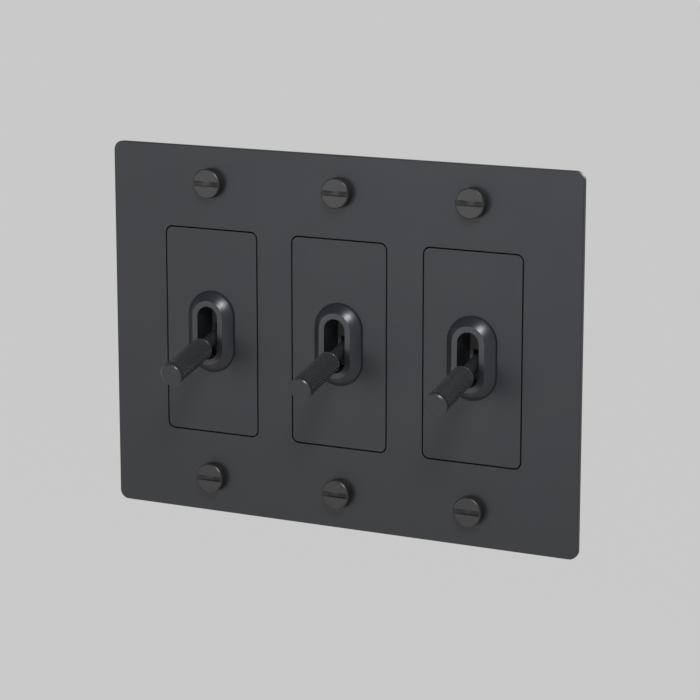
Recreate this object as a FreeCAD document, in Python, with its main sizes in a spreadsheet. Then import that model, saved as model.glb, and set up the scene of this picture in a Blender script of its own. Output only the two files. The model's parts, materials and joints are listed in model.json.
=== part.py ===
import FreeCAD, Part
import math
import os
import re
import Sketcher
from FreeCAD import Vector

# A three-gang toggle light switch with its metal wall plate, in millimetres.
#
# The frame: the wall is the plane y = 0, the room is at y < 0, +Z is up and +X is to the right
# as seen from the room. The origin is the middle of the plate on the wall. The switches are
# one gang pitch apart along X, numbered 1 to 3 from the left, and all their levers are down.
#
# A sketch on an XZ plane faces the room: its offset is the distance in front of the wall, a pad
# from it grows towards the room, and a reversed pad grows into the wall box.

SIZES = {
    # wall plate and the gasket that stands it off the wall
    "plate_width": 164.0,
    "plate_height": 120.0,
    "plate_thickness": 1.6,
    "plate_corner_radius": 3.0,
    "plate_edge_rounding": 0.25,
    "gasket_thickness": 3.2,
    "gasket_inset": 3.5,
    "gasket_window_width": 39.0,
    "gasket_window_height": 108.4,
    "gang_pitch": 46.04,
    # rectangular face of one switch
    "insert_width": 32.9,
    "insert_height": 66.4,
    "insert_corner_radius": 2.0,
    "insert_gap": 0.5,
    "insert_face_thickness": 1.6,
    "insert_skirt": 1.5,
    "locating_pin_radius": 1.5,
    "locating_pin_spacing": 56.0,
    # bevelled collar round the lever
    "collar_radius": 8.3,
    "collar_straight": 10.0,
    "collar_height": 3.2,
    "collar_land_radius": 5.5,
    "collar_wall_height": 0.65,
    "collar_bevel_rounding": 1.1,
    "slot_radius": 3.6,
    "spigot_wall": 1.4,
    "spigot_depth": 6.4,
    "boss_wall": 2.0,
    "groove_depth": 0.6,
    "clip_thickness": 0.8,
    "clip_arm": 3.2,
    # steel strap of one switch
    "yoke_thickness": 1.5,
    "yoke_height": 106.4,
    "yoke_width": 24.0,
    "yoke_corner_radius": 4.0,
    "yoke_seat_width": 32.0,
    "yoke_seat_height": 63.0,
    "ground_tab_depth": 9.0,
    "ground_tab_width": 9.0,
    "ground_tab_drop": 25.0,
    "ground_screw_setback": 4.8,
    # screws and rivets
    "cover_screw_spacing": 96.8,
    "cover_screw_radius": 1.75,
    "cover_screw_hole_radius": 2.05,
    "cover_screw_length": 7.8,
    "coin_head_radius": 4.75,
    "coin_head_height": 3.1,
    "coin_head_chamfer": 0.3,
    "coin_slot_width": 1.7,
    "coin_slot_depth": 1.3,
    "coin_slot_cutter_radius": 8.4,
    "box_screw_spacing": 83.34,
    "box_screw_radius": 1.75,
    "box_screw_neck_radius": 1.4,
    "box_screw_length": 26.0,
    "box_screw_head_radius": 3.5,
    "box_screw_head_height": 1.4,
    "box_slot_width": 4.2,
    "box_slot_length": 7.0,
    "terminal_screw_radius": 2.0,
    "terminal_screw_length": 6.0,
    "terminal_head_radius": 4.0,
    "terminal_head_height": 2.3,
    "rivet_radius": 1.2,
    "rivet_head_radius": 2.1,
    "rivet_head_height": 0.7,
    "rivet_spacing_x": 17.6,
    "rivet_spacing_z": 32.0,
    "driver_slot_width": 1.0,
    "driver_slot_depth": 0.7,
    # moulded switch body
    "housing_width": 24.0,
    "housing_height": 38.0,
    "housing_depth": 22.5,
    "housing_wall": 1.8,
    "housing_floor": 2.0,
    "housing_cavity_height": 26.0,
    "housing_corner_radius": 1.5,
    "cover_thickness": 3.55,
    "barrier_thickness": 1.5,
    "barrier_width": 4.0,
    "barrier_start": 9.0,
    "pivot_rib_height": 7.0,
    "pivot_rib_base": 2.0,
    # dust shutter behind the slot
    "shutter_thickness": 1.0,
    "shutter_width": 12.0,
    "shutter_overlap": 0.3,
    "shutter_window_width": 5.0,
    # lever: distances along it are from its pivot
    "toggle_tilt": 14.0,
    "pivot_setback": 11.4,
    "pivot_pin_radius": 1.2,
    "pivot_pin_length": 14.6,
    "hub_radius": 3.0,
    "hub_width": 6.4,
    "neck_radius": 2.2,
    "shoulder_radius": 2.8,
    "spigot_thread_radius": 1.6,
    "spigot_thread_length": 12.0,
    "tail_radius": 2.4,
    "tail_length": 11.0,
    "grip_radius": 3.75,
    "grip_start": 18.14,
    "grip_length": 21.13,
    "grip_end_band": 1.25,
    "grip_groove_width": 0.35,
    "grip_groove_depth": 0.3,
    "grip_chamfer": 0.5,
    # sprung plunger and seesaw contact
    "plunger_radius": 1.5,
    "plunger_length": 5.4,
    "plunger_bore_depth": 8.4,
    "plunger_reach": 1.8,
    "spring_coil_radius": 1.15,
    "spring_wire_radius": 0.22,
    "spring_coils": 4.0,
    "rocker_swing": 9.0,
    "rocker_fold": 16.0,
    "rocker_arm": 8.0,
    "rocker_width": 4.4,
    "rocker_thickness": 0.8,
    "rocker_setback": 13.15,
    "contact_radius": 1.5,
    "contact_height": 0.5,
    "contact_offset": 6.2,
    "terminal_thickness": 1.2,
    "terminal_width": 9.0,
    "strap_width": 5.0,
    "terminal_reach": 15.0,
    "terminal_screw_setback": 14.0,
    # working clearances
    "sliding_gap": 0.1,
    "running_gap": 0.05,
    "screw_gap": 0.05,
    "seat_gap": 0.1,
}

# Places worked out from the sizes. Those named for a level are distances in front of the wall.
PLATE_BACK = "gasket_thickness"
PLATE_FRONT = "(gasket_thickness + plate_thickness)"
SPIGOT_END = f"({PLATE_FRONT} - spigot_depth)"
SHUTTER_FRONT = f"({SPIGOT_END} - sliding_gap)"
SHUTTER_BACK = f"({SHUTTER_FRONT} - shutter_thickness)"
COVER_BACK = "(-cover_thickness)"
HOUSING_BACK = "(-cover_thickness - housing_depth)"
HOUSING_FLOOR = f"({HOUSING_BACK} + housing_floor)"
PIVOT_LEVEL = f"({PLATE_FRONT} - pivot_setback)"
ROCKER_LEVEL = f"({PIVOT_LEVEL} - rocker_setback - rocker_thickness / cos(rocker_fold))"
SLOT_WIDTH = "(2 * slot_radius)"
SPIGOT_WIDTH = "(2 * (slot_radius + spigot_wall))"
BOSS_WIDTH = "(2 * (slot_radius + spigot_wall + boss_wall))"
GROOVE_WIDTH = "(2 * (slot_radius + spigot_wall - groove_depth))"
SHUTTER_MIDDLE = f"({SHUTTER_FRONT} - shutter_thickness / 2)"
SHUTTER_REST = f"(({SHUTTER_MIDDLE} - {PIVOT_LEVEL}) * tan(toggle_tilt))"
SHUTTER_HALF = f"(collar_straight / 2 + slot_radius + {SHUTTER_REST} + shutter_overlap)"
NECK_REACH = "(neck_radius / cos(toggle_tilt) + shutter_thickness / 2 * tan(toggle_tilt))"
BORE_RADIUS = "(pivot_pin_radius + running_gap)"

doc = FreeCAD.newDocument("toggle_switch_plate")
sheet = doc.addObject("Spreadsheet::Sheet", "Sizes")
for row, (alias, size) in enumerate(SIZES.items(), start=1):
    sheet.set(f"A{row}", alias)
    sheet.set(f"B{row}", str(size))
    sheet.setAlias(f"B{row}", alias)
doc.recompute()

GANGS = (1, 2, 3)
subparts = []


def bound(text):
    """The expression as other objects must write it, with each size looked up in the sheet."""
    return re.sub(r"[a-z_]+", lambda word: "Sizes." * (word[0] in SIZES) + word[0], text)


def value(text):
    """The expression's present value."""
    return float(sheet.evalExpression(text))


# ---- sketches ----

def new_body(name):
    body = doc.addObject("PartDesign::Body", name)
    body.Label = name
    return body


def new_sketch(body, plane="XZ", offset="0", shift="0"):
    """A sketch on one of the body's own planes, moved along its normal and its first axis."""
    sketch = body.newObject("Sketcher::SketchObject", f"{body.Name}_sketch")
    planes = {part.Role: part for part in body.Origin.OriginFeatures}
    sketch.AttachmentSupport = [(planes[f"{plane}_Plane"], "")]
    sketch.MapMode = "FlatFace"
    sketch.setExpression("AttachmentOffset.Base.x", bound(shift))
    sketch.setExpression("AttachmentOffset.Base.z", bound(offset))
    return sketch


def dimension(sketch, kind, *targets, size):
    index = sketch.addConstraint(Sketcher.Constraint(kind, *targets, value(size)))
    sketch.setExpression(f"Constraints[{index}]", bound(size))


def locate(sketch, element, point, across, up):
    """Ties a point of an element to the sketch's origin."""
    for kind, axis, size in (("DistanceX", -2, across), ("DistanceY", -1, up)):
        if size == "0":
            sketch.addConstraint(Sketcher.Constraint("PointOnObject", element, point, axis))
        else:
            dimension(sketch, kind, -1, 1, element, point, size=size)


def circle(sketch, across, up, radius):
    centre = Vector(value(across), value(up), 0)
    element = sketch.addGeometry(Part.Circle(centre, Vector(0, 0, 1), value(radius)), False)
    locate(sketch, element, 3, across, up)
    dimension(sketch, "Radius", element, size=radius)


def outline(sketch, corners):
    """A closed outline of straight lines through corners given as expressions."""
    points = [Vector(value(across), value(up), 0) for across, up in corners]
    lines = []
    for start, end in zip(points, points[1:] + points[:1]):
        lines.append(sketch.addGeometry(Part.LineSegment(start, end), False))
    for line, following in zip(lines, lines[1:] + lines[:1]):
        sketch.addConstraint(Sketcher.Constraint("Coincident", line, 2, following, 1))
    for line, (across, up) in zip(lines, corners):
        locate(sketch, line, 1, across, up)


def rectangle(sketch, left, bottom, right, top):
    outline(sketch, [(left, bottom), (right, bottom), (right, top), (left, top)])


def centred_rectangle(sketch, width, height):
    rectangle(sketch, f"-{width} / 2", f"-{height} / 2", f"{width} / 2", f"{height} / 2")


def rounded_outline(sketch, centres, radius, first_angle):
    """Arcs of one radius round the centres, joined by the straight lines that touch them."""
    sweep = 360 / len(centres)
    arcs = []
    for step, (across, up) in enumerate(centres):
        start = math.radians(first_angle + step * sweep)
        round_end = Part.Circle(Vector(value(across), value(up), 0), Vector(0, 0, 1), value(radius))
        arc = Part.ArcOfCircle(round_end, start, start + math.radians(sweep))
        arcs.append(sketch.addGeometry(arc, False))
    ends = [sketch.Geometry[index] for index in arcs]
    for step, (across, up) in enumerate(centres):
        following = (step + 1) % len(centres)
        edge = Part.LineSegment(ends[step].EndPoint, ends[following].StartPoint)
        line = sketch.addGeometry(edge, False)
        sketch.addConstraint(Sketcher.Constraint("Tangent", arcs[step], 2, line, 1))
        sketch.addConstraint(Sketcher.Constraint("Tangent", line, 2, arcs[following], 1))
        locate(sketch, arcs[step], 3, across, up)
        dimension(sketch, "Radius", arcs[step], size=radius)


def stadium(sketch, width, straight, middle="0"):
    """An upright slot shape, its straight sides of a stated length."""
    centres = [("0", f"{middle} + {straight} / 2"), ("0", f"{middle} - {straight} / 2")]
    rounded_outline(sketch, centres, f"({width} / 2)", 0)


def level_stadium(sketch, width, straight, across="0", up="0"):
    """The same shape laid on its side."""
    centres = [(f"{across} + {straight} / 2", up), (f"{across} - {straight} / 2", up)]
    rounded_outline(sketch, centres, f"({width} / 2)", -90)


def rounded_rectangle(sketch, width, height, radius, across="0"):
    reach = f"({width} / 2 - {radius})"
    rise = f"({height} / 2 - {radius})"
    right = f"{across} + {reach}"
    left = f"{across} - {reach}"
    centres = [(right, rise), (left, rise), (left, f"-{rise}"), (right, f"-{rise}")]
    rounded_outline(sketch, centres, radius, 0)


# ---- features ----

def new_feature(kind, sketch):
    body = sketch.getParentGeoFeatureGroup()
    feature = body.newObject(f"PartDesign::{kind}", f"{body.Name}_{kind.lower()}")
    feature.Profile = sketch
    return feature


def pad(sketch, length, backwards=False, both_ways=False):
    feature = new_feature("Pad", sketch)
    feature.setExpression("Length", bound(length))
    feature.Reversed = backwards
    feature.SideType = "Symmetric" if both_ways else "One side"
    return feature


def pocket(sketch, length, forwards=False, both_ways=False):
    """A cut from the sketch against its normal, or forwards along it."""
    feature = new_feature("Pocket", sketch)
    feature.setExpression("Length", bound(length))
    feature.Reversed = forwards
    feature.SideType = "Symmetric" if both_ways else "One side"
    return feature


def turned(sketch, kind="Revolution"):
    """A solid of revolution, or a groove, about the sketch's upright axis."""
    feature = new_feature(kind, sketch)
    feature.ReferenceAxis = (sketch, ["V_Axis"])
    feature.Angle = 360
    return feature


def dress(kind, feature, size, test):
    """A fillet or chamfer on the edges of a feature that pass a test."""
    doc.recompute()
    edges = feature.Shape.Edges
    names = [f"Edge{index}" for index, edge in enumerate(edges, start=1) if test(edge)]
    body = feature.getParentGeoFeatureGroup()
    dressing = body.newObject(f"PartDesign::{kind}", f"{body.Name}_{kind.lower()}")
    dressing.Base = (feature, names)
    dressing.setExpression("Radius" if kind == "Fillet" else "Size", bound(size))
    return dressing


def at_level(edge, level):
    """Whether an edge lies flat at a distance in front of the body's XZ plane."""
    box = edge.BoundBox
    return max(abs(box.YMin + value(level)), abs(box.YMax + value(level))) < 1e-4


def place(piece, x="0", y="0", z="0", turn="0", about=(1, 0, 0)):
    """Binds where a piece stands, and how far it is turned about an axis."""
    base = f"create(<<vector>>; {bound(x)}; {bound(y)}; {bound(z)})"
    axis = f"create(<<vector>>; {about[0]}; {about[1]}; {about[2]})"
    rotation = f"create(<<rotation>>; {axis}; {bound(turn)})"
    piece.setExpression("Placement", f"create(<<placement>>; {base}; {rotation})")


def keep(piece):
    """Marks a finished piece as one of the object's sub-parts."""
    subparts.append(piece)
    return piece


def group(name, members):
    """Identical fasteners, as one sub-part of separate solids."""
    bundle = doc.addObject("Part::Compound", name)
    bundle.Label = name
    bundle.Links = members
    return keep(bundle)


# ---- wall plate and gasket ----

def gang_x(gang):
    return f"({gang - 2} * gang_pitch)"


def is_on_plate_rim(edge):
    middle = edge.CenterOfMass
    beyond_x = abs(middle.x) > value("plate_width / 2 - plate_corner_radius")
    beyond_z = abs(middle.z) > value("plate_height / 2 - plate_corner_radius")
    return at_level(edge, PLATE_FRONT) and (beyond_x or beyond_z)


def cover_plate():
    body = new_body("cover_plate")
    sketch = new_sketch(body, offset=PLATE_BACK)
    rounded_rectangle(sketch, "plate_width", "plate_height", "plate_corner_radius")
    for gang in GANGS:
        rounded_rectangle(sketch, "(insert_width + 2 * insert_gap)", "(insert_height + 2 * insert_gap)",
                          "(insert_corner_radius + insert_gap)", gang_x(gang))
        for side in ("", "-"):
            circle(sketch, gang_x(gang), f"{side}cover_screw_spacing / 2", "cover_screw_hole_radius")
    plate = pad(sketch, "plate_thickness")
    dress("Fillet", plate, "plate_edge_rounding", is_on_plate_rim)
    keep(body)


def plate_gasket():
    body = new_body("plate_gasket")
    sketch = new_sketch(body)
    rounded_rectangle(sketch, "(plate_width - 2 * gasket_inset)", "(plate_height - 2 * gasket_inset)",
                      "plate_corner_radius")
    for gang in GANGS:
        rounded_rectangle(sketch, "gasket_window_width", "gasket_window_height",
                          "plate_corner_radius", gang_x(gang))
    pad(sketch, "gasket_thickness")
    keep(body)


# ---- face, collar and clip of one switch ----

def face_insert(gang):
    """A shallow tray whose front is flush with the plate, with a boss that backs the collar."""
    body = new_body(f"face_insert_{gang}")
    place(body, x=gang_x(gang))
    sketch = new_sketch(body, offset="yoke_thickness")
    rounded_rectangle(sketch, "insert_width", "insert_height", "insert_corner_radius")
    pad(sketch, f"{PLATE_FRONT} - yoke_thickness")
    hollow = new_sketch(body, offset="yoke_thickness")
    rounded_rectangle(hollow, "(insert_width - 2 * insert_skirt)", "(insert_height - 2 * insert_skirt)",
                      "(insert_corner_radius / 2)")
    stadium(hollow, BOSS_WIDTH, "collar_straight")
    pocket(hollow, f"{PLATE_FRONT} - insert_face_thickness - yoke_thickness", forwards=True)
    pins = new_sketch(body)
    for side in ("", "-"):
        circle(pins, "0", f"{side}locating_pin_spacing / 2", "locating_pin_radius")
    pad(pins, f"{PLATE_FRONT} - insert_face_thickness")
    window = new_sketch(body, offset=PLATE_FRONT)
    stadium(window, f"({SPIGOT_WIDTH} + 2 * running_gap)", "collar_straight")
    pocket(window, f"{PLATE_FRONT} - yoke_thickness")
    keep(body)


def toggle_collar(gang):
    """The bevelled ring round the lever, on a spigot that passes through face and yoke."""
    body = new_body(f"toggle_collar_{gang}")
    place(body, x=gang_x(gang))
    head = new_sketch(body, offset=PLATE_FRONT)
    stadium(head, "(2 * collar_radius)", "collar_straight")
    crown = pad(head, "collar_height")
    top = f"{PLATE_FRONT} + collar_height"
    wall_top = f"{PLATE_FRONT} + collar_wall_height"
    bevel = dress("Chamfer", crown, "collar_height - collar_wall_height", lambda edge: at_level(edge, top))
    bevel.ChamferType = "Two distances"
    bevel.setExpression("Size2", bound("collar_radius - collar_land_radius"))
    dress("Fillet", bevel, "collar_bevel_rounding",
          lambda edge: at_level(edge, top) or at_level(edge, wall_top))
    spigot = new_sketch(body, offset=PLATE_FRONT)
    stadium(spigot, SPIGOT_WIDTH, "collar_straight")
    pad(spigot, "spigot_depth", backwards=True)
    groove = new_sketch(body)
    stadium(groove, f"({SPIGOT_WIDTH} + groove_depth)", "collar_straight")
    stadium(groove, GROOVE_WIDTH, "collar_straight")
    pocket(groove, "clip_thickness + running_gap")
    slot = new_sketch(body, offset=top)
    stadium(slot, SLOT_WIDTH, "collar_straight")
    pocket(slot, "collar_height + spigot_depth")
    keep(body)


def collar_clip(gang):
    """A flat U that slides up into the spigot's groove, behind the yoke."""
    body = new_body(f"collar_clip_{gang}")
    place(body, x=gang_x(gang))
    sketch = new_sketch(body, offset="-running_gap / 2")
    stadium(sketch, f"({GROOVE_WIDTH} + 2 * clip_arm)", "collar_straight")
    pad(sketch, "clip_thickness", backwards=True)
    mouth = new_sketch(body)
    drop = f"({GROOVE_WIDTH} + 2 * clip_arm)"
    stadium(mouth, f"({GROOVE_WIDTH} + 2 * running_gap)", f"(collar_straight + {drop})", f"-{drop} / 2")
    pocket(mouth, "2 * clip_thickness")
    keep(body)


# ---- steel strap ----

def mounting_yoke(gang):
    body = new_body(f"mounting_yoke_{gang}")
    place(body, x=gang_x(gang))
    strap = new_sketch(body)
    rounded_rectangle(strap, "yoke_width", "yoke_height", "yoke_corner_radius")
    pad(strap, "yoke_thickness")
    seat = new_sketch(body)
    rounded_rectangle(seat, "yoke_seat_width", "yoke_seat_height", "yoke_thickness")
    pad(seat, "yoke_thickness")
    tab = new_sketch(body, offset="yoke_thickness")
    rectangle(tab, "yoke_seat_width / 2 - yoke_thickness", "-ground_tab_drop - ground_tab_width / 2",
              "yoke_seat_width / 2", "-ground_tab_drop + ground_tab_width / 2")
    pad(tab, "yoke_thickness + ground_tab_depth", backwards=True)
    holes = new_sketch(body, offset="yoke_thickness")
    stadium(holes, f"({SPIGOT_WIDTH} + 2 * running_gap)", "collar_straight")
    for side in ("", "-"):
        circle(holes, "0", f"{side}cover_screw_spacing / 2", "(cover_screw_radius + screw_gap)")
        circle(holes, "0", f"{side}locating_pin_spacing / 2", "(locating_pin_radius + running_gap)")
        level_stadium(holes, "box_slot_width", "(box_slot_length - box_slot_width)",
                      up=f"{side}box_screw_spacing / 2")
        for end in ("", "-"):
            circle(holes, f"{end}rivet_spacing_x / 2", f"{side}rivet_spacing_z / 2",
                   "(rivet_radius + screw_gap)")
    pocket(holes, "yoke_thickness")
    ground_hole = new_sketch(body, plane="YZ")
    circle(ground_hole, "ground_screw_setback", "-ground_tab_drop", "(terminal_screw_radius + screw_gap)")
    pocket(ground_hole, "2 * yoke_seat_width", both_ways=True)
    keep(body)


# ---- moulded switch body ----

def rivet_holes(sketch):
    for side in ("", "-"):
        for end in ("", "-"):
            circle(sketch, f"{end}rivet_spacing_x / 2", f"{side}rivet_spacing_z / 2",
                   "(rivet_radius + screw_gap)")


def housing_cover(gang):
    """The front half, with the clip's recess, the shutter's slideway and the lever's window."""
    body = new_body(f"housing_cover_{gang}")
    place(body, x=gang_x(gang))
    sketch = new_sketch(body)
    rounded_rectangle(sketch, "housing_width", "housing_height", "housing_corner_radius")
    rivet_holes(sketch)
    pad(sketch, "cover_thickness", backwards=True)
    recess = new_sketch(body)
    stadium(recess, f"({GROOVE_WIDTH} + 2 * clip_arm + 2 * seat_gap)", "collar_straight")
    pocket(recess, f"-{SHUTTER_FRONT}")
    slideway = new_sketch(body)
    centred_rectangle(slideway, "(shutter_width + 2 * sliding_gap)",
                      f"(2 * ({SHUTTER_HALF} + {SHUTTER_REST} + sliding_gap))")
    pocket(slideway, f"-{SHUTTER_BACK} + running_gap")
    window = new_sketch(body)
    centred_rectangle(window, "shutter_window_width", f"(2 * ({NECK_REACH} + {SHUTTER_REST} + sliding_gap))")
    pocket(window, "cover_thickness")
    keepers = new_sketch(body, offset=COVER_BACK)
    for left, right in (("-pivot_pin_length / 2", "-hub_width / 2 - seat_gap"),
                        ("hub_width / 2 + seat_gap", "pivot_pin_length / 2")):
        rectangle(keepers, left, "-pivot_pin_radius + seat_gap", right, "pivot_pin_radius - seat_gap")
    pad(keepers, f"{COVER_BACK} - {PIVOT_LEVEL} - {BORE_RADIUS}", backwards=True)
    keep(body)


def switch_housing(gang):
    """The back half: a thick-ended cup with slotted ribs for the pivot and barriers outside."""
    body = new_body(f"switch_housing_{gang}")
    place(body, x=gang_x(gang))
    sketch = new_sketch(body, offset=COVER_BACK)
    rounded_rectangle(sketch, "housing_width", "housing_height", "housing_corner_radius")
    rivet_holes(sketch)
    pad(sketch, "housing_depth", backwards=True)
    cavity = new_sketch(body, offset=COVER_BACK)
    centred_rectangle(cavity, "(housing_width - 2 * housing_wall)", "housing_cavity_height")
    pocket(cavity, "housing_depth - housing_floor")
    ribs = new_sketch(body, offset=COVER_BACK)
    barriers = new_sketch(body, offset="-barrier_start")
    for side in ("", "-"):
        inner = f"{side}(hub_width / 2 + 2 * seat_gap)"
        rectangle(ribs, inner, "-pivot_rib_height / 2", f"{side}housing_width / 2", "pivot_rib_height / 2")
        for end in ("", "-"):
            rectangle(barriers, f"{side}(housing_width / 2 - housing_wall / 2)",
                      f"{end}(terminal_width / 2 + seat_gap)",
                      f"{side}(housing_width / 2 + barrier_width)",
                      f"{end}(terminal_width / 2 + seat_gap + barrier_thickness)")
    pad(ribs, f"{COVER_BACK} - {PIVOT_LEVEL} + pivot_pin_radius + pivot_rib_base", backwards=True)
    pad(barriers, f"-{HOUSING_BACK} - barrier_start", backwards=True)
    seat = new_sketch(body, plane="YZ")
    level_stadium(seat, f"(2 * {BORE_RADIUS})", "pivot_setback", across=f"-{PIVOT_LEVEL} - pivot_setback / 2")
    pocket(seat, "pivot_pin_length + 2 * seat_gap", both_ways=True)
    ports = new_sketch(body, plane="YZ")
    circle(ports, "terminal_screw_setback", "0", "(terminal_screw_radius + 2 * seat_gap)")
    rectangle(ports, f"-{HOUSING_FLOOR} - terminal_thickness - seat_gap", "-strap_width / 2 - seat_gap",
              f"-{HOUSING_FLOOR}", "strap_width / 2 + seat_gap")
    pocket(ports, "2 * housing_width", both_ways=True)
    keep(body)


# ---- shutter, lever, grip and pivot ----

def dust_shutter(gang):
    """The thin slide that the lever carries up and down behind the slot."""
    body = new_body(f"dust_shutter_{gang}")
    place(body, x=gang_x(gang), z=f"-{SHUTTER_REST}")
    sketch = new_sketch(body, offset=SHUTTER_BACK)
    centred_rectangle(sketch, "shutter_width", f"(2 * {SHUTTER_HALF})")
    centred_rectangle(sketch, "shutter_window_width", f"(2 * ({NECK_REACH} + sliding_gap))")
    pad(sketch, "shutter_thickness")
    keep(body)


def place_on_lever(piece, gang):
    """The lever's frame: its origin on the pivot and its +Z along the lever, towards the tip."""
    place(piece, x=gang_x(gang), y=f"-{PIVOT_LEVEL}", turn="90 + toggle_tilt")


def toggle_stem(gang):
    body = new_body(f"toggle_stem_{gang}")
    place_on_lever(body, gang)
    sketch = new_sketch(body)
    outline(sketch, [
        ("0", "-tail_length"),
        ("tail_radius", "-tail_length"),
        ("tail_radius", "0"),
        ("neck_radius", "hub_radius / 2"),
        ("neck_radius", "grip_start - 2 * (shoulder_radius - neck_radius)"),
        ("shoulder_radius", "grip_start"),
        ("spigot_thread_radius", "grip_start"),
        ("spigot_thread_radius", "grip_start + spigot_thread_length"),
        ("0", "grip_start + spigot_thread_length"),
    ])
    turned(sketch)
    hub = new_sketch(body, plane="YZ")
    circle(hub, "0", "0", "hub_radius")
    pad(hub, "hub_width", both_ways=True)
    bore = new_sketch(body, plane="YZ")
    circle(bore, "0", "0", BORE_RADIUS)
    pocket(bore, "2 * hub_width", both_ways=True)
    well = new_sketch(body, plane="XY", offset="-tail_length")
    circle(well, "0", "0", "(plunger_radius + sliding_gap)")
    pocket(well, "plunger_bore_depth", forwards=True)
    keep(body)


def toggle_grip(gang):
    """The turned grip, with its end band set off by a groove."""
    body = new_body(f"toggle_grip_{gang}")
    place_on_lever(body, gang)
    tip = "(grip_start + grip_length)"
    groove_end = f"{tip} - grip_end_band"
    groove_start = f"{tip} - grip_end_band - grip_groove_width"
    bore_radius = "(spigot_thread_radius + screw_gap)"
    bore_end = "grip_start + spigot_thread_length + seat_gap"
    sketch = new_sketch(body)
    outline(sketch, [
        (bore_radius, "grip_start"),
        ("grip_radius - grip_chamfer", "grip_start"),
        ("grip_radius", "grip_start + grip_chamfer"),
        ("grip_radius", groove_start),
        ("grip_radius - grip_groove_depth", groove_start),
        ("grip_radius - grip_groove_depth", groove_end),
        ("grip_radius", groove_end),
        ("grip_radius", f"{tip} - grip_chamfer"),
        ("grip_radius - grip_chamfer", tip),
        ("0", tip),
        ("0", bore_end),
        (bore_radius, bore_end),
    ])
    turned(sketch)
    keep(body)


def pivot_pin(gang):
    body = new_body(f"pivot_pin_{gang}")
    place(body, x=gang_x(gang), y=f"-{PIVOT_LEVEL}")
    sketch = new_sketch(body, plane="YZ")
    circle(sketch, "0", "0", "pivot_pin_radius")
    pad(sketch, "pivot_pin_length", both_ways=True)
    keep(body)


def plunger(gang):
    """A round-ended pin in the lever's tail, which rides in the seesaw contact."""
    shaft = doc.addObject("Part::Cylinder", f"plunger_shaft_{gang}")
    shaft.setExpression("Radius", bound("plunger_radius"))
    shaft.setExpression("Height", bound("plunger_length - plunger_radius"))
    shaft.setExpression("Placement.Base.z", bound("plunger_radius - tail_length - plunger_reach"))
    nose = doc.addObject("Part::Sphere", f"plunger_nose_{gang}")
    nose.setExpression("Radius", bound("plunger_radius"))
    nose.setExpression("Placement.Base.z", bound("plunger_radius - tail_length - plunger_reach"))
    piece = doc.addObject("Part::Fuse", f"plunger_{gang}")
    piece.Label = f"plunger_{gang}"
    piece.Base = shaft
    piece.Tool = nose
    place_on_lever(piece, gang)
    keep(piece)


def plunger_spring(gang):
    body = new_body(f"plunger_spring_{gang}")
    place_on_lever(body, gang)
    lowest = "(plunger_length - tail_length - plunger_reach + spring_wire_radius)"
    highest = "(plunger_bore_depth - tail_length - spring_wire_radius)"
    wire = new_sketch(body)
    circle(wire, "spring_coil_radius", lowest, "spring_wire_radius")
    coil = new_feature("AdditiveHelix", wire)
    coil.ReferenceAxis = (wire, ["V_Axis"])
    coil.Mode = "height-turns-angle"
    coil.setExpression("Height", bound(f"{highest} - {lowest}"))
    coil.setExpression("Turns", bound("spring_coils"))
    keep(body)


# ---- contacts ----

def contact_rocker(gang):
    """A folded strip that rocks on the common terminal, with a contact under its lower arm."""
    body = new_body(f"contact_rocker_{gang}")
    place(body, x=gang_x(gang), y=f"-{ROCKER_LEVEL}", turn="-rocker_swing")
    run = "rocker_arm * sin(rocker_fold)"
    rise = "rocker_arm * cos(rocker_fold)"
    front_run = f"-{run} - rocker_thickness * cos(rocker_fold)"
    front_rise = f"({rise} - rocker_thickness * sin(rocker_fold))"
    strip = new_sketch(body, plane="YZ")
    outline(strip, [
        ("0", "0"),
        (f"-{run}", rise),
        (front_run, front_rise),
        ("-rocker_thickness / cos(rocker_fold)", "0"),
        (front_run, f"-{front_rise}"),
        (f"-{run}", f"-{rise}"),
    ])
    pad(strip, "rocker_width", both_ways=True)
    button = new_sketch(body, offset="contact_offset * tan(rocker_fold) - contact_height")
    circle(button, "0", "-contact_offset", "contact_radius")
    pad(button, "contact_height + rocker_thickness / 2")
    keep(body)


def side_plate(body, side):
    """The outer limb of a terminal, against the housing's side, with its tapped hole."""
    limb = new_sketch(body, offset=HOUSING_FLOOR)
    rectangle(limb, f"{side}housing_width / 2", "-terminal_width / 2",
              f"{side}(housing_width / 2 + terminal_thickness)", "terminal_width / 2")
    pad(limb, "terminal_reach")
    hole = new_sketch(body, plane="YZ")
    circle(hole, "terminal_screw_setback", "0", "(terminal_screw_radius + screw_gap)")
    pocket(hole, "4 * housing_width", both_ways=True)


def common_terminal(gang):
    """A strap along the housing floor, with the ridge on which the rocker sits."""
    body = new_body(f"common_terminal_{gang}")
    place(body, x=gang_x(gang))
    strap = new_sketch(body, offset=HOUSING_FLOOR)
    rectangle(strap, "-housing_width / 2 - terminal_thickness / 2", "-strap_width / 2",
              "rocker_width / 2", "strap_width / 2")
    pad(strap, "terminal_thickness")
    ridge = new_sketch(body, offset=HOUSING_FLOOR)
    rectangle(ridge, "-rocker_width / 2", "-terminal_thickness / 2",
              "rocker_width / 2", "terminal_thickness / 2")
    pad(ridge, f"{ROCKER_LEVEL} - running_gap - {HOUSING_FLOOR}")
    side_plate(body, "-")
    keep(body)


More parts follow.
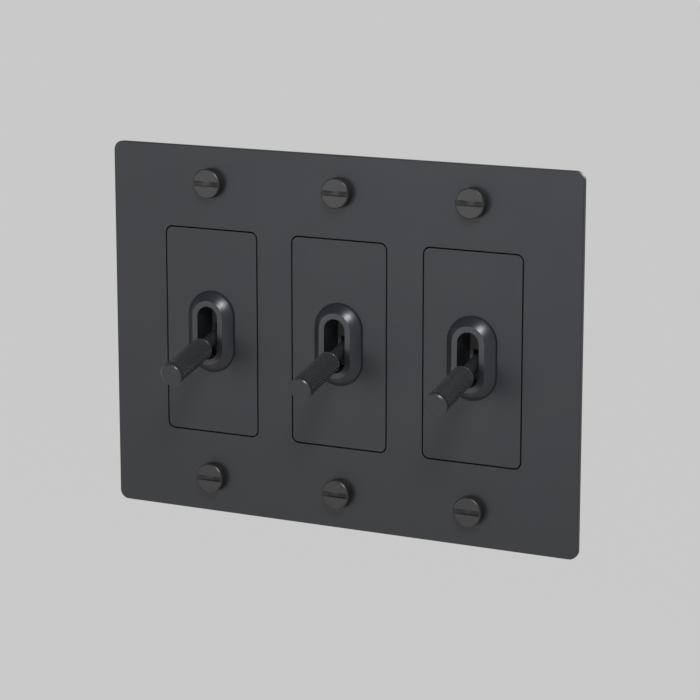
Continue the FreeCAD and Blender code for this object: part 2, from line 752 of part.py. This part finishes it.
def switched_terminal(gang):
    """A strap that turns down to the fixed contact behind the rocker's lower arm."""
    body = new_body(f"switched_terminal_{gang}")
    place(body, x=gang_x(gang))
    strap = new_sketch(body, offset=HOUSING_FLOOR)
    bottom = "-contact_offset - strap_width / 2"
    near = "rocker_width / 2 + strap_width / 2"
    outline(strap, [
        ("housing_width / 2 + terminal_thickness / 2", "-strap_width / 2"),
        ("housing_width / 2 + terminal_thickness / 2", "strap_width / 2"),
        (near, "strap_width / 2"),
        (near, "-contact_offset + strap_width / 2"),
        ("-rocker_width / 2", "-contact_offset + strap_width / 2"),
        ("-rocker_width / 2", bottom),
        ("housing_width / 2 - housing_wall - terminal_thickness", bottom),
        ("housing_width / 2 - housing_wall - terminal_thickness", "-strap_width / 2"),
    ])
    pad(strap, "terminal_thickness")
    post = new_sketch(body, offset=HOUSING_FLOOR)
    circle(post, "0", "-contact_offset", "contact_radius")
    pad(post, f"{ROCKER_LEVEL} - 2 * seat_gap - {HOUSING_FLOOR}")
    side_plate(body, "")
    keep(body)


# ---- screws and rivets, each along its own -Y, its seat at the origin ----

def coin_screw(name):
    """A thick flat head whose slot is sawn by a disc, so that its floor is curved."""
    body = new_body(name)
    head = new_sketch(body)
    circle(head, "0", "0", "coin_head_radius")
    coin = pad(head, "coin_head_height")
    dress("Chamfer", coin, "coin_head_chamfer", lambda edge: at_level(edge, "coin_head_height"))
    shank = new_sketch(body)
    circle(shank, "0", "0", "cover_screw_radius")
    pad(shank, "cover_screw_length", backwards=True)
    saw = new_sketch(body, plane="YZ",
                     shift="coin_slot_depth - coin_head_height - coin_slot_cutter_radius")
    rectangle(saw, "0", "-coin_slot_width / 2", "coin_slot_cutter_radius", "coin_slot_width / 2")
    turned(saw, "Groove")
    return body


def slotted_screw(name, radius, length, head_radius, head_height):
    body = new_body(name)
    head = new_sketch(body)
    circle(head, "0", "0", head_radius)
    pan = pad(head, head_height)
    dress("Chamfer", pan, f"{head_height} / 4", lambda edge: at_level(edge, head_height))
    shank = new_sketch(body)
    circle(shank, "0", "0", radius)
    pad(shank, length, backwards=True)
    slot = new_sketch(body, offset=head_height)
    centred_rectangle(slot, f"(4 * {head_radius})", "driver_slot_width")
    pocket(slot, "driver_slot_depth")
    return body


def box_screw(name):
    """Its neck is thinner than its thread, so that it floats in the strap's slot."""
    body = slotted_screw(name, "box_screw_radius", "box_screw_length",
                         "box_screw_head_radius", "box_screw_head_height")
    relief = new_sketch(body)
    circle(relief, "0", "0", "box_screw_radius")
    circle(relief, "0", "0", "box_screw_neck_radius")
    pocket(relief, "yoke_thickness")
    return body


def rivet(name):
    body = new_body(name)
    grip = f"(yoke_thickness - {HOUSING_BACK})"
    head = new_sketch(body)
    circle(head, "0", "0", "rivet_head_radius")
    pad(head, "rivet_head_height")
    shank = new_sketch(body)
    circle(shank, "0", "0", "rivet_radius")
    pad(shank, grip, backwards=True)
    tail = new_sketch(body, offset=f"-{grip}")
    circle(tail, "0", "0", "rivet_head_radius")
    pad(tail, "rivet_head_height", backwards=True)
    return body


def fasteners():
    plate_screws = []
    box_screws = []
    terminal_screws = []
    ground_screws = []
    rivets = []
    terminal_size = ("terminal_screw_radius", "terminal_screw_length",
                     "terminal_head_radius", "terminal_head_height")
    for gang in GANGS:
        x = gang_x(gang)
        for row, side in (("top", ""), ("bottom", "-")):
            screw = coin_screw(f"plate_screw_{gang}_{row}")
            place(screw, x=x, y=f"-{PLATE_FRONT}", z=f"{side}cover_screw_spacing / 2")
            plate_screws.append(screw)
            screw = box_screw(f"box_screw_{gang}_{row}")
            place(screw, x=x, y="-yoke_thickness", z=f"{side}box_screw_spacing / 2")
            box_screws.append(screw)
            for column, end in (("left", "-"), ("right", "")):
                pin = rivet(f"rivet_{gang}_{row}_{column}")
                place(pin, x=f"{x} + {end}rivet_spacing_x / 2", y="-yoke_thickness",
                      z=f"{side}rivet_spacing_z / 2")
                rivets.append(pin)
        for column, end in (("left", "-"), ("right", "")):
            screw = slotted_screw(f"terminal_screw_{gang}_{column}", *terminal_size)
            place(screw, x=f"{x} + {end}(housing_width / 2 + terminal_thickness)",
                  y="terminal_screw_setback", turn=f"{end}90", about=(0, 0, 1))
            terminal_screws.append(screw)
        screw = slotted_screw(f"ground_screw_{gang}", *terminal_size)
        place(screw, x=f"{x} + yoke_seat_width / 2", y="ground_screw_setback", z="-ground_tab_drop",
              turn="90", about=(0, 0, 1))
        ground_screws.append(screw)
    group("plate_screws", plate_screws)
    group("box_screws", box_screws)
    group("terminal_screws", terminal_screws)
    group("ground_screws", ground_screws)
    group("housing_rivets", rivets)


# ---- the whole object ----

def check_and_write():
    """Stops on any failed feature, or on a cut that cuts nothing, then writes the sub-parts."""
    doc.recompute()
    for piece in doc.Objects:
        if "Invalid" in piece.State or "Error" in piece.State:
            raise RuntimeError(f"{piece.Label} failed: {piece.State}")
        if piece.TypeId in ("PartDesign::Pocket", "PartDesign::Groove"):
            if piece.Shape.Volume > piece.BaseFeature.Shape.Volume - 1e-6:
                raise RuntimeError(f"{piece.Label} cuts nothing")
    os.makedirs("parts", exist_ok=True)
    for piece in subparts:
        if piece.Shape.isNull() or not piece.Shape.isValid():
            raise RuntimeError(f"{piece.Label} has no valid shape")
        piece.Shape.exportStep(f"parts/{piece.Label}.step")


cover_plate()
plate_gasket()
for gang in GANGS:
    for make in (face_insert, toggle_collar, collar_clip, mounting_yoke, housing_cover,
                 switch_housing, dust_shutter, toggle_stem, toggle_grip, pivot_pin, plunger,
                 plunger_spring, contact_rocker, common_terminal, switched_terminal):
        make(gang)
fasteners()
check_and_write()
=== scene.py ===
import json
import math
import bpy
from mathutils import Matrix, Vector


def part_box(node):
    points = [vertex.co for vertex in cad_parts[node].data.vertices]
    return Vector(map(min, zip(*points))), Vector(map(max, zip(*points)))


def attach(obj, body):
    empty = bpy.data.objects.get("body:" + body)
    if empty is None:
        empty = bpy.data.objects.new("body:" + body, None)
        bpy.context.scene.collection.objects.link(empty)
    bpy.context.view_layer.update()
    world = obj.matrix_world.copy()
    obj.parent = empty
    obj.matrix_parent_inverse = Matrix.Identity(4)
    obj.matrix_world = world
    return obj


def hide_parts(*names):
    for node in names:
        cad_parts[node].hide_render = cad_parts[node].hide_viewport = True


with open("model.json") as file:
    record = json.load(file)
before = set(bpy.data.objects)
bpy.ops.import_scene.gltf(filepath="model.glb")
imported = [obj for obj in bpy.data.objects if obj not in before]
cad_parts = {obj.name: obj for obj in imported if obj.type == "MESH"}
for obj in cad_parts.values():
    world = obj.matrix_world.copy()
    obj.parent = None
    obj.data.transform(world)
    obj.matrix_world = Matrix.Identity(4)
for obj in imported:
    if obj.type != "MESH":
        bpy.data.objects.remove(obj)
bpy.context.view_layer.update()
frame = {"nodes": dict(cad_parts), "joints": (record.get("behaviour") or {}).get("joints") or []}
scene = bpy.context.scene

# The object is a three-gang toggle switch. +X is right and +Z up as seen from the room, which
# is at -Y. Lengths are in metres. Places come from the frame, and sizes it doesn't give are
# stated here in millimetres.
MM = 0.001
GANGS = (1, 2, 3)
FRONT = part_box("cover_plate")[0].y

ROOT = "mounting_assembly"


def hinge(gang):
    """Where the lever of one switch pivots, from the frame's joints."""
    for joint in frame["joints"]:
        if joint["name"] == f"toggle_lever_{gang}":
            return Vector(joint["pos_m"])
    raise ValueError(f"no lever joint for switch {gang}")


def middle_of(node):
    """The middle of a frame node's box."""
    low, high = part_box(node)
    return (low + high) / 2


# ---- materials ----

def new_material(name, color, metallic, roughness):
    """A node material and its shader, with the plain values set on the shader's own sockets."""
    material = bpy.data.materials.new(name)
    material.use_nodes = True
    shader = material.node_tree.nodes["Principled BSDF"]
    shader.inputs["Base Color"].default_value = (*color, 1)
    shader.inputs["Metallic"].default_value = metallic
    shader.inputs["Roughness"].default_value = roughness
    return material, shader


def add_node(owner, kind, **settings):
    """A node in a material or a world, with values set on its sockets."""
    node = owner.node_tree.nodes.new(kind)
    for name, setting in settings.items():
        node.inputs[name.replace("_", " ")].default_value = setting
    return node


def object_space(material, stretch=(1, 1, 1)):
    """Coordinates in metres, fixed to the piece, stretched along its axes."""
    coordinates = material.node_tree.nodes.new("ShaderNodeTexCoord")
    mapping = add_node(material, "ShaderNodeMapping", Scale=stretch)
    material.node_tree.links.new(coordinates.outputs["Object"], mapping.inputs["Vector"])
    return mapping.outputs["Vector"]


def noise(material, space, size, detail=3.0):
    """Noise whose features are about a stated size across."""
    node = add_node(material, "ShaderNodeTexNoise", Scale=1 / size, Detail=detail, Roughness=0.55)
    material.node_tree.links.new(space, node.inputs["Vector"])
    return node.outputs["Fac"]


# most of a noise's values lie between these
NOISE_LOW = 0.3
NOISE_HIGH = 0.7


def spread(material, source, low, high):
    """Maps the middle of a noise's range to low..high."""
    node = add_node(material, "ShaderNodeMapRange",
                    From_Min=NOISE_LOW, From_Max=NOISE_HIGH, To_Min=low, To_Max=high)
    material.node_tree.links.new(source, node.inputs["Value"])
    return node.outputs["Result"]


def scaled(tone, share):
    return [share * level for level in tone]


def tint(material, shader, source, dark, light):
    """Colour that drifts between two tones with a texture."""
    ramp = material.node_tree.nodes.new("ShaderNodeValToRGB")
    stops = ((NOISE_LOW, dark), (NOISE_HIGH, light))
    for element, (position, color) in zip(ramp.color_ramp.elements, stops):
        element.position = position
        element.color = (*color, 1)
    material.node_tree.links.new(source, ramp.inputs["Fac"])
    material.node_tree.links.new(ramp.outputs["Color"], shader.inputs["Base Color"])


def bump(material, shader, source, height, strength):
    node = add_node(material, "ShaderNodeBump", Strength=strength, Distance=height)
    material.node_tree.links.new(source, node.inputs["Height"])
    material.node_tree.links.new(node.outputs["Normal"], shader.inputs["Normal"])


def coated_metal(name, tone, roughness):
    """Satin black coating over metal: a fine even grain and a slow drift in gloss and tone."""
    material, shader = new_material(name, tone, 0.0, roughness)
    space = object_space(material)
    drift = noise(material, space, 18 * MM, detail=2.0)
    fine = noise(material, space, 0.25 * MM, detail=2.0)
    tint(material, shader, drift, scaled(tone, 0.94), scaled(tone, 1.06))
    rough = spread(material, drift, roughness - 0.02, roughness + 0.02)
    material.node_tree.links.new(rough, shader.inputs["Roughness"])
    bump(material, shader, fine, 0.004 * MM, strength=0.35)
    return material


def plated_steel(name, tone, roughness):
    """Bright metal: a rolled grain along Z, and patches a little darker than the rest."""
    material, shader = new_material(name, tone, 1.0, roughness)
    rolled = noise(material, object_space(material, (1, 1, 0.05)), 0.4 * MM)
    cloud = noise(material, object_space(material), 9 * MM)
    tint(material, shader, cloud, scaled(tone, 0.88), tone)
    material.node_tree.links.new(spread(material, rolled, roughness - 0.07, roughness + 0.09),
                                 shader.inputs["Roughness"])
    bump(material, shader, rolled, 0.01 * MM, strength=0.4)
    return material


def moulding(name, tone, roughness):
    """Moulded plastic: a spark-eroded grain and a little variation in tone."""
    material, shader = new_material(name, tone, 0.0, roughness)
    space = object_space(material)
    fine = noise(material, space, 0.35 * MM)
    cloud = noise(material, space, 7 * MM)
    tint(material, shader, cloud, scaled(tone, 0.85), scaled(tone, 1.12))
    material.node_tree.links.new(spread(material, fine, roughness - 0.06, roughness + 0.06),
                                 shader.inputs["Roughness"])
    bump(material, shader, fine, 0.02 * MM, strength=0.5)
    return material


def foam(name, tone):
    """Closed-cell gasket foam: a pitted matt skin, with painted shade darkening the pits."""
    material, shader = new_material(name, tone, 0.0, 0.95)
    cells = add_node(material, "ShaderNodeTexVoronoi", Scale=1 / (0.6 * MM))
    material.node_tree.links.new(object_space(material), cells.inputs["Vector"])
    # painted shade: the pits, where the bump is lowest, are coloured darker than the rims
    tint(material, shader, cells.outputs["Distance"], scaled(tone, 0.6), tone)
    bump(material, shader, cells.outputs["Distance"], 0.15 * MM, strength=0.8)
    return material


BLACK = (0.0125, 0.0132, 0.0165)
MATERIALS = {
    "plate": coated_metal("satin_black_plate", BLACK, 0.46),
    "collar": coated_metal("satin_black_collar", BLACK, 0.33),
    "screw": coated_metal("satin_black_screw", (0.016, 0.0155, 0.0155), 0.4),
    # the grip's tone is a lighter copy of the satin black: painted sheen, so that the knurl's
    # diamonds show bright
    "grip": coated_metal("satin_black_grip_painted_sheen", (0.03, 0.031, 0.034), 0.3),
    "stem": coated_metal("satin_black_stem", (0.02, 0.02, 0.021), 0.38),
    "shutter": moulding("shutter_moulding", (0.17, 0.17, 0.175), 0.5),
    "gasket": foam("gasket_foam", (0.02, 0.02, 0.021)),
    "zinc": plated_steel("zinc_plated_steel", (0.62, 0.62, 0.59), 0.32),
    "spring": plated_steel("spring_steel", (0.5, 0.5, 0.5), 0.25),
    "green": plated_steel("green_passivated_steel", (0.08, 0.3, 0.12), 0.35),
    "housing": moulding("black_moulding", (0.022, 0.022, 0.024), 0.5),
    "nylon": moulding("white_nylon", (0.75, 0.74, 0.7), 0.45),
    "brass": plated_steel("satin_brass", (0.72, 0.52, 0.22), 0.3),
}
LOOKS = {
    "cover_plate": "plate", "face_insert": "plate", "toggle_collar": "collar",
    "plate_screws": "screw", "toggle_grip": "grip", "toggle_stem": "stem",
    "dust_shutter": "shutter", "plate_gasket": "gasket", "mounting_yoke": "zinc",
    "box_screws": "zinc", "housing_rivets": "zinc", "pivot_pin": "zinc",
    "collar_clip": "spring", "plunger_spring": "spring", "ground_screws": "green",
    "housing_cover": "housing", "switch_housing": "housing", "plunger": "nylon",
    "contact_rocker": "brass", "common_terminal": "brass", "switched_terminal": "brass",
    "terminal_screws": "brass",
}


def kind_of(node):
    """The node's name without its gang number."""
    return node[:-2] if node[-2] == "_" else node


def dress_cad_nodes():
    for name, piece in frame["nodes"].items():
        piece.data.materials.clear()
        piece.data.materials.append(MATERIALS[LOOKS[kind_of(name)]])


# ---- pieces made here ----

def add_mesh(name, points, faces, material, smooth_angle=30):
    mesh = bpy.data.meshes.new(name)
    mesh.from_pydata(points, [], faces)
    mesh.validate()
    mesh.update()
    piece = bpy.data.objects.new(name, mesh)
    scene.collection.objects.link(piece)
    mesh.materials.append(MATERIALS[material])
    mesh.set_sharp_from_angle(angle=math.radians(smooth_angle))
    for polygon in mesh.polygons:
        polygon.use_smooth = True
    return piece


def lever_axes(gang):
    """The lever's pivot and its unit directions: along it to the tip, sideways, and across."""
    along = (middle_of(f"toggle_grip_{gang}") - hinge(gang)).normalized()
    side = Vector((1, 0, 0))
    return hinge(gang), along, side, along.cross(side)


KNURL_STARTS = 26
KNURL_DEPTH = 0.32 * MM
KNURL_ANGLE = math.radians(35)
KNURL_FLAT = 0.34
KNURL_ROOT_MARGIN = 0.9 * MM
KNURL_TIP_MARGIN = 1.75 * MM
GRIP_RADIUS = 3.75 * MM
GRIP_CHAMFER = 0.45 * MM
# distances along the lever from its pivot
GRIP_START = 18.14 * MM
GRIP_TIP = GRIP_START + 21.13 * MM


def knurled_grip(gang):
    """A grip with raised diamonds, each with a small flat top, between two plain ends."""
    pivot, along, side, across = lever_axes(gang)
    points = []
    faces = []

    def ring_point(turn, station, radius):
        spot = pivot + along * station + (side * math.cos(turn) + across * math.sin(turn)) * radius
        points.append(spot)
        return len(points) - 1

    step = 2 * math.pi / KNURL_STARTS
    diamond = step * GRIP_RADIUS / math.tan(KNURL_ANGLE)
    knurl_start = GRIP_START + KNURL_ROOT_MARGIN
    knurl_end = GRIP_TIP - KNURL_TIP_MARGIN
    rows = round((knurl_end - knurl_start) / (diamond / 2))
    half = (knurl_end - knurl_start) / rows
    groove = GRIP_RADIUS - KNURL_DEPTH
    valleys = {}

    def valley(column, row):
        """A crossing of two grooves; columns are counted in half steps."""
        key = (column % (2 * KNURL_STARTS), row)
        if key not in valleys:
            valleys[key] = ring_point(key[0] * step / 2, knurl_start + row * half, groove)
        return valleys[key]

    for row in range(rows + 1):
        for column in range(row % 2, 2 * KNURL_STARTS, 2):
            middle = column + 1
            corners = [(middle - 1, row), (middle, row - 1), (middle + 1, row), (middle, row + 1)]
            outer = [valley(c, min(max(r, 0), rows)) for c, r in corners]
            top = []
            for c, r in corners:
                reach_c = middle + (c - middle) * KNURL_FLAT
                reach_r = min(max(row + (r - row) * KNURL_FLAT, 0), rows)
                station = knurl_start + reach_r * half
                top.append(ring_point(reach_c * step / 2, station, GRIP_RADIUS))
            for k in range(4):
                following = (k + 1) % 4
                faces.append((outer[k], outer[following], top[following], top[k]))
            faces.append(tuple(top))
    plain_ends(faces, ring_point, knurl_start, knurl_end, groove)
    piece = add_mesh(f"knurled_grip_{gang}", points, faces, "grip", smooth_angle=25)
    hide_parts(f"toggle_grip_{gang}")
    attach(piece, f"toggle_{gang}")


def plain_ends(faces, ring_point, knurl_start, knurl_end, groove):
    """The plain turned ends of the grip: a rounded root, and the tip's groove, band and face."""
    shoulder = GRIP_TIP - GRIP_CHAMFER
    # each end as radius and distance from the pivot, in order towards the tip
    root = [
        (0.0, GRIP_START),
        (GRIP_RADIUS - 1.2 * MM, GRIP_START),
        (GRIP_RADIUS - 0.5 * MM, GRIP_START + 0.15 * MM),
        (GRIP_RADIUS - 0.1 * MM, GRIP_START + 0.55 * MM),
        (groove, knurl_start),
    ]
    band = [
        (groove, knurl_end),
        (groove - 0.1 * MM, knurl_end + 0.05 * MM),
        (groove - 0.1 * MM, knurl_end + 0.5 * MM),
        (GRIP_RADIUS - 0.1 * MM, knurl_end + 0.58 * MM),
        (GRIP_RADIUS, knurl_end + 0.7 * MM),
        (GRIP_RADIUS, shoulder - 0.05 * MM),
        (GRIP_RADIUS - 0.06 * MM, shoulder + 0.05 * MM),
        (GRIP_RADIUS - GRIP_CHAMFER, GRIP_TIP - 0.04 * MM),
        (GRIP_RADIUS - GRIP_CHAMFER - 0.08 * MM, GRIP_TIP),
        (0.0, GRIP_TIP),
    ]
    count = 2 * KNURL_STARTS
    for profile in (root, band):
        loops = []
        for radius, station in profile:
            if radius == 0:
                loops.append([ring_point(0, station, 0)] * count)
            else:
                turns = [2 * math.pi * k / count for k in range(count)]
                loops.append([ring_point(turn, station, radius) for turn in turns])
        for near, far in zip(loops, loops[1:]):
            for k in range(count):
                following = (k + 1) % count
                corners = (near[k], near[following], far[following], far[k])
                faces.append(tuple(dict.fromkeys(corners)))


COLLAR_ARC_POINTS = 48
COLLAR_BEVEL_STEPS = 8
COLLAR_BEVEL_WIDTH = 2.8 * MM
COLLAR_BEVEL_BULGE = 0.12 * MM
DIAGONAL = 0.7  # about the cosine of 45 degrees
SLOT_RADIUS = 3.6 * MM
SPIGOT_WALL = 1.4 * MM


def stadium_loop(radius, straight, depth, middle):
    """Points round an upright stadium about a middle: its upper arc, then its lower one."""
    loop = []
    for first_turn, rise in ((0.0, straight / 2), (math.pi, -straight / 2)):
        for k in range(COLLAR_ARC_POINTS):
            turn = first_turn + math.pi * k / (COLLAR_ARC_POINTS - 1)
            across = middle.x + radius * math.cos(turn)
            up = middle.z + rise + radius * math.sin(turn)
            loop.append(Vector((across, depth, up)))
    return loop


def bevelled_collar(gang):
    """The collar round the lever: a short wall, a broad soft bevel, a flat land and the slot."""
    low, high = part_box(f"toggle_collar_{gang}")
    middle = (low + high) / 2
    outer = (high.x - low.x) / 2
    straight = (high.z - low.z) - 2 * outer
    land = low.y
    spigot = SLOT_RADIUS + SPIGOT_WALL
    # half width and depth, from the plate out over the bevel and back in through the slot
    profile = [(outer, FRONT), (outer, FRONT - 0.55 * MM), (outer - 0.06 * MM, FRONT - 0.7 * MM)]
    bevel_start = Vector((outer - 0.12 * MM, -0.8 * MM))
    bevel_end = Vector((outer - COLLAR_BEVEL_WIDTH, land - FRONT))
    for step in range(COLLAR_BEVEL_STEPS + 1):
        share = step / COLLAR_BEVEL_STEPS
        spot = bevel_start.lerp(bevel_end, share)
        bulge = COLLAR_BEVEL_BULGE * math.sin(math.pi * share)
        profile.append((spot.x + bulge * DIAGONAL, FRONT + spot.y - bulge * DIAGONAL))
    profile += [
        (SLOT_RADIUS + 0.12 * MM, land),
        (SLOT_RADIUS + 0.03 * MM, land + 0.04 * MM),
        (SLOT_RADIUS, land + 0.12 * MM),
        (SLOT_RADIUS, high.y),
        (spigot, high.y),
        (spigot, FRONT),
    ]
    points = []
    faces = []
    count = 2 * COLLAR_ARC_POINTS
    for radius, depth in profile:
        points += stadium_loop(radius, straight, depth, middle)
    for band in range(len(profile)):
        near = band * count
        far = ((band + 1) % len(profile)) * count
        for k in range(count):
            following = (k + 1) % count
            faces.append((near + k, far + k, far + following, near + following))
    piece = add_mesh(f"bevelled_collar_{gang}", points, faces, "collar", smooth_angle=20)
    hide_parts(f"toggle_collar_{gang}")
    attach(piece, ROOT)


def slab(across, up, depths, filled):
    """The points and faces of a flat slab on a grid of cells, open where a cell isn't filled."""
    points = []
    index = {}
    faces = []

    def corner(i, j, k):
        if (i, j, k) not in index:
            index[i, j, k] = len(points)
            points.append((across[i], depths[k], up[j]))
        return index[i, j, k]

    def is_filled(i, j):
        inside = 0 <= i < len(across) - 1 and 0 <= j < len(up) - 1
        return inside and filled((across[i] + across[i + 1]) / 2, (up[j] + up[j + 1]) / 2)

    for i in range(len(across) - 1):
        for j in range(len(up) - 1):
            if not is_filled(i, j):
                continue
            ring = [(i, j), (i + 1, j), (i + 1, j + 1), (i, j + 1)]
            beyond = [(i, j - 1), (i + 1, j), (i, j + 1), (i - 1, j)]
            faces.append([corner(a, b, 0) for a, b in ring])
            faces.append([corner(a, b, 1) for a, b in reversed(ring)])
            for near, far, neighbour in zip(ring, ring[1:] + ring[:1], beyond):
                if not is_filled(*neighbour):
                    faces.append([corner(*near, 1), corner(*far, 1),
                                  corner(*far, 0), corner(*near, 0)])
    return points, faces


GASKET_FRONT_LAYER = 1.65 * MM


def gasket():
    """The foam behind the plate, cut to fit close round each switch so that no light passes."""
    low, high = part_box("plate_gasket")
    middles = [middle_of(f"face_insert_{gang}").x for gang in GANGS]
    split = low.y + GASKET_FRONT_LAYER
    # half width and lowest and highest edge of each window, in mm about the middle of a switch
    front = [(16.6, -33.35, 33.35), (6.2, 37.4, 53.0), (6.2, -53.0, -37.4)]
    back = [(12.15, -53.4, 53.4), (16.15, -31.7, 31.7)]
    layers = (("front", front, low.y, split), ("back", back, split, high.y))
    for name, windows, near, far in layers:
        sides = {m + side * w[0] * MM for m in middles for w in windows for side in (-1, 1)}
        across = sorted({low.x, high.x} | sides)
        up = sorted({low.z, high.z} | {edge * MM for w in windows for edge in w[1:]})

        def filled(x, z):
            return not any(abs(x - m) < w[0] * MM and w[1] * MM < z < w[2] * MM
                           for m in middles for w in windows)

        points, faces = slab(across, up, (near, far), filled)
        piece = add_mesh(f"gasket_{name}", points, faces, "gasket")
        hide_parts("plate_gasket")
        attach(piece, ROOT)


EDGE_ROUNDING = 0.12 * MM


def soften(node):
    """Rounds the sharp edges of a CAD node a little, so that they catch the light."""
    piece = frame["nodes"][node]
    modifier = piece.modifiers.new("edges", "BEVEL")
    modifier.width = EDGE_ROUNDING
    modifier.segments = 2
    modifier.limit_method = "ANGLE"
    modifier.angle_limit = math.radians(35)


# ---- stage, lights and camera ----

def floor():
    """A plain floor far below, pale because it glows more than it reflects."""
    reach = 40.0
    level = -1.2
    glow = 0.56
    corners = [(x * reach, y * reach, level) for x, y in ((-1, -1), (1, -1), (1, 1), (-1, 1))]
    mesh = bpy.data.meshes.new("floor")
    mesh.from_pydata(corners, [], [(0, 1, 2, 3)])
    piece = bpy.data.objects.new("floor", mesh)
    scene.collection.objects.link(piece)
    material, shader = new_material("pale_floor", (0.1, 0.1, 0.1), 0.0, 0.9)
    shader.inputs["Specular IOR Level"].default_value = 0.0
    shader.inputs["Emission Color"].default_value = (1, 1, 1, 1)
    shader.inputs["Emission Strength"].default_value = glow
    mesh.materials.append(material)


def area_light(name, spot, size, power):
    """A square soft light, a little cool, aimed at the origin."""
    data = bpy.data.lights.new(name, "AREA")
    data.shape = "SQUARE"
    data.size = size
    data.energy = power
    data.color = (0.95, 0.97, 1.0)
    lamp = bpy.data.objects.new(name, data)
    lamp.location = spot
    lamp.rotation_euler = (-Vector(spot)).to_track_quat("-Z", "Y").to_euler()
    scene.collection.objects.link(lamp)


def lights():
    """A sky that is pale near the horizon and dim overhead, and three soft lights."""
    horizon_strength = 0.6
    overhead_strength = 0.2
    world = bpy.data.worlds.new("studio")
    world.use_nodes = True
    tree = world.node_tree
    background = tree.nodes["Background"]
    direction = tree.nodes.new("ShaderNodeTexCoord")
    split = tree.nodes.new("ShaderNodeSeparateXYZ")
    # the sine of the height in the sky at which the fade begins and ends
    fade = add_node(world, "ShaderNodeMapRange", From_Min=0.1, From_Max=0.4,
                    To_Min=horizon_strength, To_Max=overhead_strength)
    tree.links.new(direction.outputs["Generated"], split.inputs["Vector"])
    tree.links.new(split.outputs["Z"], fade.inputs["Value"])
    tree.links.new(fade.outputs["Result"], background.inputs["Strength"])
    background.inputs["Color"].default_value = (1, 1, 1, 1)
    scene.world = world
    area_light("key", (0.3, -0.5, 0.52), 0.22, 5.0)
    area_light("front_fill", (-0.7, -1.7, 0.0), 0.7, 5.5)
    area_light("back_fill", (0.6, 1.4, 0.9), 0.9, 22)


def camera():
    """A long lens to the right of the plate and above it, aimed near the plate's middle."""
    turn = math.radians(26.912)
    pitch = math.radians(11.897)
    distance = 0.810
    target = Vector((3.96 * MM, FRONT, -1.42 * MM))
    level = math.cos(pitch)
    back = Vector((math.sin(turn) * level, -math.cos(turn) * level, math.sin(pitch)))
    data = bpy.data.cameras.new("camera")
    data.lens = 132.25
    data.sensor_width = 36
    data.clip_start = 0.05
    data.clip_end = 200
    piece = bpy.data.objects.new("camera", data)
    piece.location = target + back * distance
    piece.rotation_euler = (-back).to_track_quat("-Z", "Y").to_euler()
    scene.collection.objects.link(piece)
    scene.camera = piece


scene.view_settings.view_transform = "Standard"
dress_cad_nodes()
for gang in GANGS:
    knurled_grip(gang)
    bevelled_collar(gang)
    soften(f"face_insert_{gang}")
gasket()
soften("cover_plate")
soften("plate_screws")
floor()
lights()
camera()
